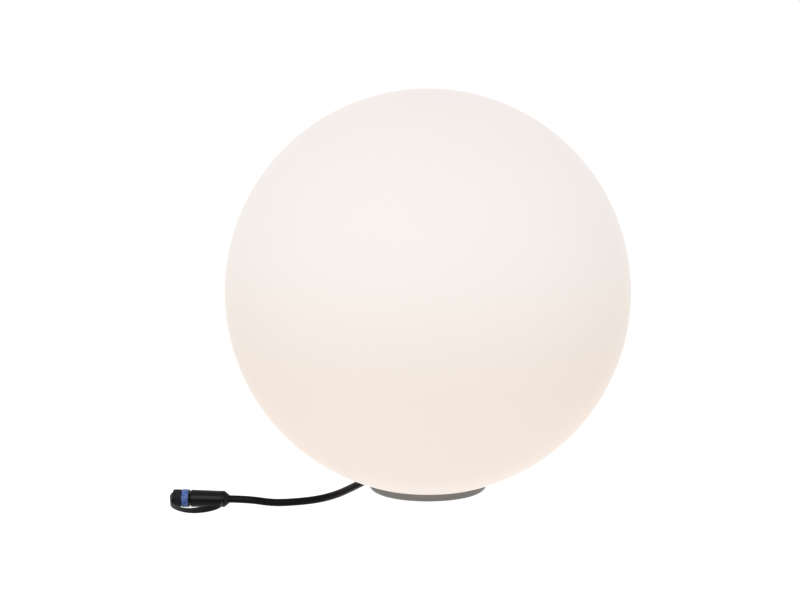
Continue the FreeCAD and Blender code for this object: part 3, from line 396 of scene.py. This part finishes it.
MATERIALS = {
    "polyethylene": opal_polyethylene(),
    "foot_plastic": grey_polypropylene(),
    "seal_rubber": seal_silicone(),
    "spreader_aluminium": rolled_aluminium(),
    "circuit_board": board_laminate(),
    "led_phosphor": led_phosphor(),
    "cover_plastic": frosted_polycarbonate(),
    "screw_steel": zinc_steel(),
    "ferrite": sintered_ferrite(),
    "capacitor_can": capacitor_sleeve(),
    "black_plastic": black_nylon(),
    "terminal_plastic": terminal_polyamide(),
    "wire_insulation": wire_sleeve(),
    "cord_rubber": cord_rubber(),
    "plug_rubber": plug_rubber(),
    "contact_brass": turned_brass(),
    "blue_plastic": blue_nylon(),
    "cap_plastic": black_nylon(),
    "strap_plastic": strap_polymer(),
}


def dress(piece, slot):
    """Gives a piece the finish of a slot of the record."""
    piece.data.materials.clear()
    piece.data.materials.append(MATERIALS[slot])


for row in frame["record"]["subparts"]:
    dress(NODES[row["node"]], row["material_slot"])


# ---- the cord ----

# The cord's route from the gland to the plug, as the solid's, and its thickness, in millimetres,
# and its length in metres.
CORD_ROUTE = [
    (25, 10, 8.6),
    (25, 24, 8.6),
    (25, 39, 3.7),
    (21.2, 57.6, 3.7),
    (10.5, 70.8, 3.7),
    (-4.8, 78.2, 3.7),
    (-21.8, 78.2, 3.7),
    (-37.1, 70.8, 3.7),
    (-47.7, 57.5, 3.7),
    (-56.4, 35, 3.7),
    (-66.8, 10.5, 3.7),
    (-77.2, -13, 3.7),
    (-89.2, -37.6, 3.7),
    (-107, -59, 3.7),
    (-131, -70, 3.7),
    (-152, -72.8, 3.7),
    (-172.9, -79.1, 8.7),
    (-192.8, -77.5, 8.7),
]
CORD_DIAMETER = 7.4


def place_object(name, data):
    """An object of that mesh, curve, lamp or camera, in the scene."""
    thing = bpy.data.objects.new(name, data)
    bpy.context.scene.collection.objects.link(thing)
    return thing


def make_cord(details):
    """The rubber cord, swept along its route to the plug; the given details are not used."""
    curve = bpy.data.curves.new("cord_sheath", "CURVE")
    curve.dimensions = "3D"
    spline = curve.splines.new("NURBS")
    spline.points.add(len(CORD_ROUTE) - 1)
    for point, spot in zip(spline.points, CORD_ROUTE):
        point.co = [c * MM for c in spot] + [1]
    spline.order_u = 3
    spline.use_endpoint_u = True
    spline.resolution_u = 12
    curve.bevel_depth = CORD_DIAMETER / 2 * MM
    curve.bevel_resolution = 6
    curve.use_fill_caps = True
    cord = place_object("cord_sheath", curve)
    dress(cord, "cord_rubber")
    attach(cord, "foot")
    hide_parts("supply_cord")


# ---- the plug's strap and small details ----

# The plug's own axes, +X along it to the cap and +Y to the front, and the plane that the strap
# lies in. Their turns are in degrees.
PLUG_TURN = 175.4
STRAP_TILT = -13.8
PLUG_PLACE = Matrix.Translation([c * MM for c in CORD_ROUTE[-1]])
PLUG = PLUG_PLACE @ Matrix.Rotation(math.radians(PLUG_TURN), 4, "Z")
STRAP_PLANE = PLUG @ Matrix.Rotation(math.radians(STRAP_TILT), 4, "X")

# The strap's route in its plane, from the collar to the cap's eye, and its section, which stands
# a little above that plane. It is wider along its middle: by how much, how far along, and over
# what reach. At each end a root makes it wider and thicker, over a shorter reach. All is in
# millimetres.
STRAP_ROUTE = [
    (6, 7.95),
    (6.4, 14),
    (12.5, 20.6),
    (22, 25.4),
    (33, 27.3),
    (44.5, 24),
    (52.8, 17.4),
    (56, 11.2),
    (55.85, 5.25),
]
STRAP_WIDTH = 4.5
STRAP_THICKNESS = 1.6
STRAP_CORNER = 0.5
STRAP_RISE = 0.15
STRAP_WIDENING = 1.9
STRAP_WIDEST = 25
STRAP_TAPER = 12
ROOT_WIDENING = 0.8
ROOT_THICKENING = 0.9
ROOT_REACH = 2.2
STEPS_PER_BEND = 10
STEPS_PER_CORNER = 4

# The crests on the cap: how many, their size, how deep they sit and how far their middle is from
# the cap's inner end, in millimetres, and how their height differs from one to the next.
CREST_COUNT = 30
CREST_LENGTH = 6.4
CREST_WIDTH = 0.5
CREST_HEIGHT = 0.16
CREST_SINK = 0.05
CREST_PLACE = 4.2
CREST_WEAR = (0.94, 1.04)

# The pointer on the blue ring: its size, how far it goes on into the ring, and how far it is
# set below the ring's ribs, in millimetres.
POINTER_LENGTH = 3.4
POINTER_WIDTH = 1.5
POINTER_HEIGHT = 0.45
POINTER_SINK = 0.25
POINTER_DROP = 0.1

# A bar's taper: places along it as shares of its length, and how thick it is at each.
BAR_TAPER = [(-0.5, 0.3), (-0.42, 0.85), (-0.3, 1), (0.3, 1), (0.42, 0.85), (0.5, 0.3)]
STEPS_PER_ARCH = 6


def smooth_route(points, steps):
    """Points along the quadratic spline of a route, as the solid's arcs run."""
    spots = [Vector((*p, 0)) for p in points]
    middles = [(a + b) / 2 for a, b in zip(spots, spots[1:])]
    starts = [spots[0]] + middles[1:-1]
    ends = middles[1:-1] + [spots[-1]]
    route = []
    for start, bend, end in zip(starts, spots[1:-1], ends):
        for i in range(steps):
            s = i / steps
            route.append(start * (1 - s) ** 2 + bend * 2 * s * (1 - s) + end * s**2)
    return route + [spots[-1]]


def rounded_section(width, thickness, corner, steps):
    """A rounded rectangle's outline, (across, through)."""
    outline = []
    for quarter, (a, b) in enumerate(((1, 1), (-1, 1), (-1, -1), (1, -1))):
        for i in range(steps + 1):
            turn = math.pi / 2 * (quarter + i / steps)
            across = a * (width / 2 - corner) + corner * math.cos(turn)
            through = b * (thickness / 2 - corner) + corner * math.sin(turn)
            outline.append((across, through))
    return outline


def skinned(name, sections):
    """A closed mesh over sections of points that follow each other, with flat ends."""
    build = bmesh.new()
    rings = [[build.verts.new(spot) for spot in section] for section in sections]
    for low, high in zip(rings, rings[1:]):
        for i in range(len(low)):
            j = (i + 1) % len(low)
            build.faces.new((low[i], low[j], high[j], high[i]))
    build.faces.new(rings[0])
    build.faces.new(rings[-1])
    bmesh.ops.recalc_face_normals(build, faces=build.faces)
    mesh = bpy.data.meshes.new(name)
    build.to_mesh(mesh)
    build.free()
    return mesh


def make_strap():
    """The flexible band between the collar and the cap's eye: thicker where it leaves each, and
    wider along its middle."""
    route = smooth_route(STRAP_ROUTE, STEPS_PER_BEND)
    lengths = [0]
    for a, b in zip(route, route[1:]):
        lengths.append(lengths[-1] + (b - a).length)
    sections = []
    for i, spot in enumerate(route):
        ahead = (route[min(i + 1, len(route) - 1)] - route[max(i - 1, 0)]).normalized()
        side = Vector((0, 0, 1)).cross(ahead)
        near = min(lengths[i], lengths[-1] - lengths[i])
        root = math.exp(-((near / ROOT_REACH) ** 2))
        wider = STRAP_WIDENING * math.exp(-(((lengths[i] - STRAP_WIDEST) / STRAP_TAPER) ** 2))
        rise = STRAP_RISE + wider / 2
        outline = rounded_section(
            STRAP_WIDTH + wider + ROOT_WIDENING * root,
            STRAP_THICKNESS + ROOT_THICKENING * root,
            STRAP_CORNER,
            STEPS_PER_CORNER,
        )
        sections.append(
            [
                STRAP_PLANE @ ((spot + side * through + Vector((0, 0, across + rise))) * MM)
                for across, through in outline
            ]
        )
    mesh = skinned("strap_band", sections)
    mesh.shade_smooth()
    strap = place_object("strap_band", mesh)
    dress(strap, "strap_plastic")
    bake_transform(strap)
    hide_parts("cap_strap")
    return strap


def along_plug(node):
    """Where a turned piece of the plug starts and ends along the axis, and its radius, in
    millimetres."""
    spots = [PLUG.inverted() @ v.co / MM for v in NODES[node].data.vertices]
    radius = max(math.hypot(s.y, s.z) for s in spots)
    return min(s.x for s in spots), max(s.x for s in spots), radius


def bar(length, width, height, sink):
    """A half-round bar along X with tapered ends, standing on z = 0 and sunk a little into it."""
    sections = []
    for x, share in BAR_TAPER:
        section = []
        for i in range(STEPS_PER_ARCH + 1):
            turn = math.pi * i / STEPS_PER_ARCH
            across = width / 2 * share * math.cos(turn)
            section.append(Vector((x * length, across, height * share * math.sin(turn))) * MM)
        for across in (-width / 2 * share, width / 2 * share):
            section.append(Vector((x * length, across, -sink)) * MM)
        sections.append(section)
    return skinned("bar", sections)


def crest_ring():
    """The nodes that set copies of a bar round the X axis, half a step off the top, each a little
    higher or lower. Returns them and their inputs' identifiers."""
    tree = bpy.data.node_groups.new("cap_crests", "GeometryNodeTree")
    sockets = {}
    for label, kind in (
        ("Count", "NodeSocketInt"),
        ("Radius", "NodeSocketFloat"),
        ("Bar", "NodeSocketObject"),
        ("Finish", "NodeSocketMaterial"),
    ):
        socket = tree.interface.new_socket(label, in_out="INPUT", socket_type=kind)
        sockets[label] = socket.identifier
    tree.interface.new_socket("Geometry", in_out="OUTPUT", socket_type="NodeSocketGeometry")
    given = add(tree, "NodeGroupInput").outputs
    count, radius = given["Count"], given["Radius"]
    circle = add(tree, "GeometryNodeMeshCircle", Vertices=count, Radius=radius).outputs[0]
    index = add(tree, "GeometryNodeInputIndex").outputs[0]
    step = add(tree, "ShaderNodeMath", {"operation": "DIVIDE"}, {0: 2 * math.pi, 1: count})
    half = add(tree, "ShaderNodeMath", {"operation": "ADD"}, {0: index, 1: 0.5})
    turn = add(
        tree, "ShaderNodeMath", {"operation": "MULTIPLY"}, {0: half.outputs[0], 1: step.outputs[0]}
    ).outputs[0]
    sine = add(tree, "ShaderNodeMath", {"operation": "SINE"}, {0: turn}).outputs[0]
    cosine = add(tree, "ShaderNodeMath", {"operation": "COSINE"}, {0: turn}).outputs[0]
    reach = add(tree, "ShaderNodeMath", {"operation": "MULTIPLY"}, {0: sine, 1: radius}).outputs[0]
    across = add(tree, "ShaderNodeMath", {"operation": "MULTIPLY"}, {0: reach, 1: -1}).outputs[0]
    rise = add(tree, "ShaderNodeMath", {"operation": "MULTIPLY"}, {0: cosine, 1: radius}).outputs[0]
    spot = add(tree, "ShaderNodeCombineXYZ", Y=across, Z=rise).outputs[0]
    points = add(tree, "GeometryNodeSetPosition", Geometry=circle, Position=spot).outputs[0]
    lean = add(tree, "ShaderNodeCombineXYZ", X=turn).outputs[0]
    lowest, highest = CREST_WEAR
    wear = add(
        tree, "FunctionNodeRandomValue", {"data_type": "FLOAT"}, Min=lowest, Max=highest, Seed=3
    )
    height = next(s for s in wear.outputs if s.enabled)
    size = add(tree, "ShaderNodeCombineXYZ", X=1.0, Y=1.0, Z=height).outputs[0]
    shape = add(tree, "GeometryNodeObjectInfo", Object=given["Bar"]).outputs["Geometry"]
    placed = {"Points": points, "Instance": shape, "Rotation": lean, "Scale": size}
    copies = add(tree, "GeometryNodeInstanceOnPoints", inputs=placed).outputs[0]
    solid = add(tree, "GeometryNodeRealizeInstances", Geometry=copies).outputs[0]
    finish = given["Finish"]
    dressed = add(tree, "GeometryNodeSetMaterial", Geometry=solid, Material=finish).outputs[0]
    add(tree, "NodeGroupOutput", inputs={0: dressed})
    return tree, sockets


def make_cap_crests():
    """Sharper crests on the lands between the cap's grooves, as one plain mesh."""
    low, _, radius = along_plug("dust_cap")
    tree, sockets = crest_ring()
    crest = bar(CREST_LENGTH, CREST_WIDTH, CREST_HEIGHT, CREST_SINK)
    rib = place_object("cap_crests_bar", crest)
    holder = place_object("cap_crests_holder", bpy.data.meshes.new("cap_crests_holder"))
    modifier = holder.modifiers.new("cap_crests", "NODES")
    modifier.node_group = tree
    modifier[sockets["Count"]] = CREST_COUNT
    modifier[sockets["Radius"]] = radius * MM
    modifier[sockets["Bar"]] = rib
    modifier[sockets["Finish"]] = MATERIALS["cap_plastic"]
    seen = holder.evaluated_get(bpy.context.evaluated_depsgraph_get())
    mesh = bpy.data.meshes.new_from_object(seen)
    for helper in (holder, rib):
        bpy.data.objects.remove(helper)
    mesh.transform(PLUG @ Matrix.Translation(((low + CREST_PLACE) * MM, 0, 0)))
    mesh.shade_smooth()
    crests = place_object("cap_crests", mesh)
    dress(crests, "cap_plastic")
    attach(crests, "cap")
    return crests


def make_pointer():
    """The raised mark on the blue ring that shows where the nut locks."""
    low, high, radius = along_plug("grip_ring")
    mark = bar(POINTER_LENGTH, POINTER_WIDTH, POINTER_HEIGHT, POINTER_SINK)
    top = Vector(((low + high) / 2, 0, radius - POINTER_DROP))
    mark.transform(PLUG @ Matrix.Translation(top * MM))
    mark.shade_smooth()
    pointer = place_object("ring_pointer", mark)
    dress(pointer, "blue_plastic")
    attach(pointer, "nut")
    return pointer


make_cord([make_strap(), make_cap_crests(), make_pointer()])


# ---- floor, light and camera ----


def seen_share(tree, strength):
    """That strength for what the camera sees, straight or mirrored or through glass, and none for
    the light that falls on the object."""
    path = add(tree, "ShaderNodeLightPath").outputs
    seen = path["Is Camera Ray"]
    for way in ("Is Glossy Ray", "Is Transmission Ray"):
        seen = add(tree, "ShaderNodeMath", {"operation": "ADD"}, {0: seen, 1: path[way]}).outputs[0]
    share = add(tree, "ShaderNodeMath", {"operation": "MULTIPLY"}, {0: seen, 1: strength})
    return share.outputs[0]


def make_floor():
    """The floor: grey for the light that it sends back, and lifted to white where it is seen, so
    that only the soft shadow under the light is left on it."""
    mesh = bpy.data.meshes.new("floor")
    corners = [(x * FLOOR_REACH, y * FLOOR_REACH, 0) for x, y in FLOOR_CORNERS]
    mesh.from_pydata(corners, [], [(0, 1, 2, 3)])
    material, tree, shader = surface(
        "floor_white", Base_Color=to_linear(FLOOR_COLOUR), Roughness=0.9
    )
    lift = add(tree, "ShaderNodeEmission", Strength=seen_share(tree, FLOOR_LIFT)).outputs[0]
    both = add(tree, "ShaderNodeAddShader", inputs={0: shader.outputs[0], 1: lift}).outputs[0]
    output = next(n for n in tree.nodes if n.type == "OUTPUT_MATERIAL")
    tree.links.new(both, output.inputs["Surface"])
    floor = place_object("floor", mesh)
    floor.data.materials.append(material)


def make_world():
    """White where it is seen, and a low even light from all round for the rest."""
    world = bpy.data.worlds.new("studio")
    world.use_nodes = True
    tree = world.node_tree
    tree.nodes.clear()
    seen = seen_share(tree, 1 - AMBIENT)
    strength = add(tree, "ShaderNodeMath", {"operation": "ADD"}, {0: seen, 1: AMBIENT}).outputs[0]
    sky = add(tree, "ShaderNodeBackground", Color=(1, 1, 1, 1), Strength=strength).outputs[0]
    add(tree, "ShaderNodeOutputWorld", Surface=sky)
    bpy.context.scene.world = world


def make_softboxes():
    """The softboxes, each turned to face the lit spot."""
    for name, place, size, power in SOFTBOXES:
        light = bpy.data.lights.new(name, "AREA")
        light.shape = "DISK"
        light.size = size
        light.energy = power
        lamp = place_object(name, light)
        lamp.location = place
        facing = Vector(LIT_SPOT) - Vector(place)
        lamp.rotation_euler = facing.to_track_quat("-Z", "Y").to_euler()


def make_camera():
    """The photograph's camera: its lens from the focal length in pixels, and its shift from where
    the globe's centre is in the picture."""
    data = bpy.data.cameras.new("camera")
    data.sensor_width = SENSOR_WIDTH
    data.lens = FOCAL_PIXELS / PHOTO_WIDTH * SENSOR_WIDTH
    data.shift_x = (PHOTO_WIDTH / 2 - GLOBE_PIXEL[0]) / PHOTO_WIDTH
    data.shift_y = (GLOBE_PIXEL[1] - PHOTO_HEIGHT / 2) / PHOTO_WIDTH
    camera = place_object("camera", data)
    lift = math.radians(CAMERA_ELEVATION)
    camera.location = GLOBE_CENTRE + CAMERA_DISTANCE * Vector((0, -math.cos(lift), math.sin(lift)))
    camera.rotation_euler = (math.pi / 2 - lift, 0, 0)
    bpy.context.scene.camera = camera


make_floor()
make_world()
make_softboxes()
make_camera()
bpy.context.scene.view_settings.view_transform = "Standard"
